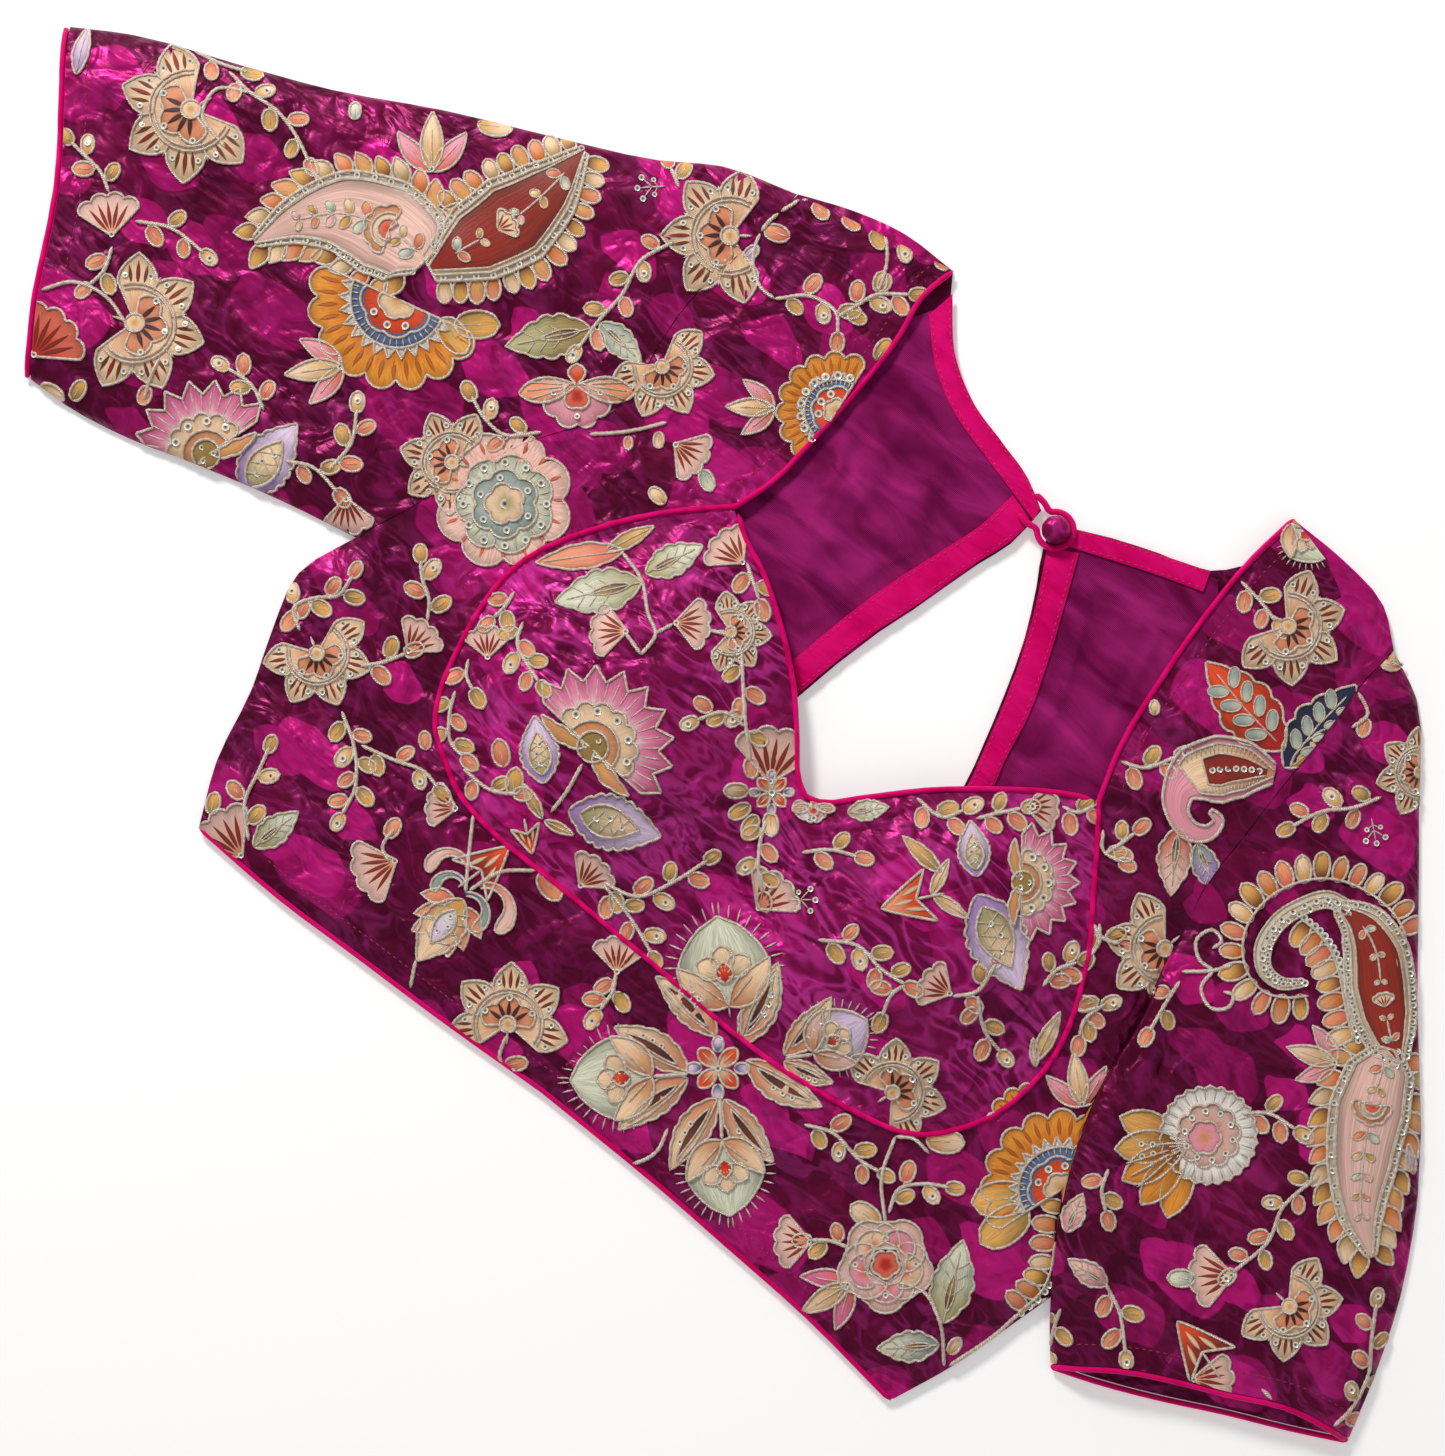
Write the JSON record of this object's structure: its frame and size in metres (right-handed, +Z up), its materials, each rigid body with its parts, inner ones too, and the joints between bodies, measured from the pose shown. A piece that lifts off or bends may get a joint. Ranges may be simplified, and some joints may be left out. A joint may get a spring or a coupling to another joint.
{
  "type": "choli blouse laid flat",
  "caption": "Cropped saree blouse laid flat on its back: padded cup front with piping, straps, elbow sleeves, and a keyhole back with a button and loop.",
  "frame": {"origin": "on the flat underside of the back, on the centre line, 60 mm above the hem line", "axes": "+X across the blouse towards the viewer's right, +Y from the hem towards the neck, +Z up from the surface it lies on"},
  "size_m": [0.7988, 0.3964, 0.026],
  "materials": {
    "velvet": "wine satin velvet with a magenta shadow print, embroidered with flowers, leaves and paisleys",
    "lining": "thin plum cotton lining, matt",
    "pink_silk": "hot pink silk piping and facing, soft sheen",
    "button_cloth": "wine velvet over a button form"
  },
  "bodies": {
    "root": {"back_panel": "velvet", "front_left": "velvet", "front_right": "velvet", "bustier_left": "velvet", "bustier_right": "velvet", "sleeve_left": "velvet", "sleeve_right": "velvet", "lining_left": "lining", "lining_right": "lining", "neck_facing_left": "pink_silk", "neck_facing_right": "pink_silk", "keyhole_facing_left": "pink_silk", "keyhole_facing_right": "pink_silk", "piping_cups": "pink_silk", "piping_neckline": "pink_silk", "piping_hem": "pink_silk", "piping_sleeve_left": "pink_silk", "piping_sleeve_right": "pink_silk", "button_loop": "pink_silk", "button": "button_cloth"}
  },
  "joints": []
}
